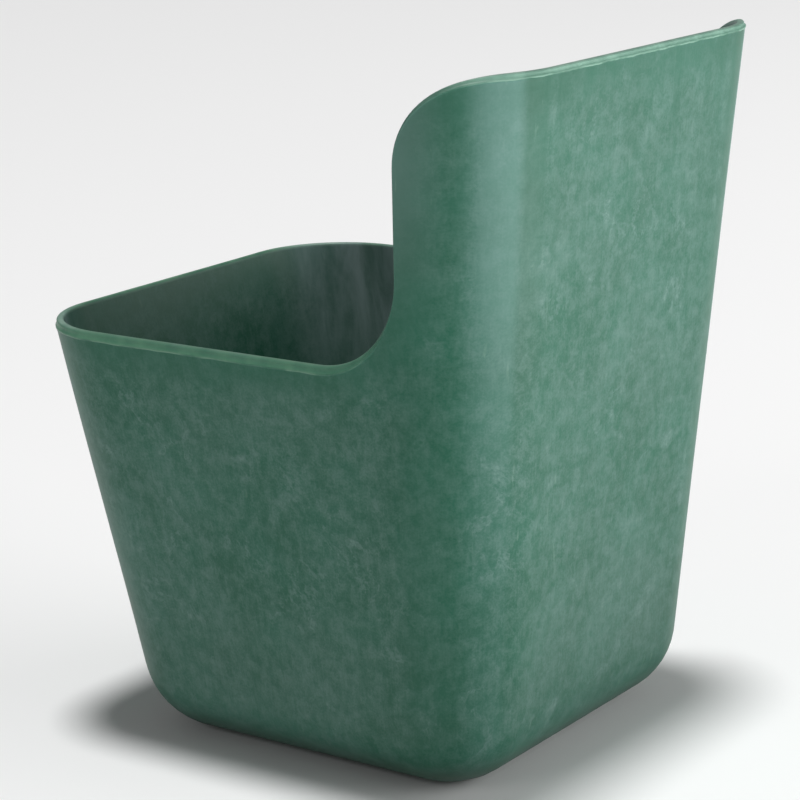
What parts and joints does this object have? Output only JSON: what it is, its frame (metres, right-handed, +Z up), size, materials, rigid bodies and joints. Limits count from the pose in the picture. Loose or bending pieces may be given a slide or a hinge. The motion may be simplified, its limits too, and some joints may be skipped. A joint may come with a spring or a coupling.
{
  "type": "feed bucket",
  "caption": "Tapered square rubber feed bucket with rounded corners, a low front rim and a high back panel that wraps round the rear corners.",
  "frame": {"origin": "centre of the flat underside, midway between the planes of opposite walls at the ground", "axes": "+Z up; -Y towards the low front rim, +Y towards the high back panel; +X across the bucket"},
  "size_m": [0.3138, 0.3428, 0.41],
  "materials": {
    "green_rubber": "satin, with a pale mottled bloom"
  },
  "bodies": {
    "root": {"bucket_shell": "green_rubber"}
  },
  "joints": []
}
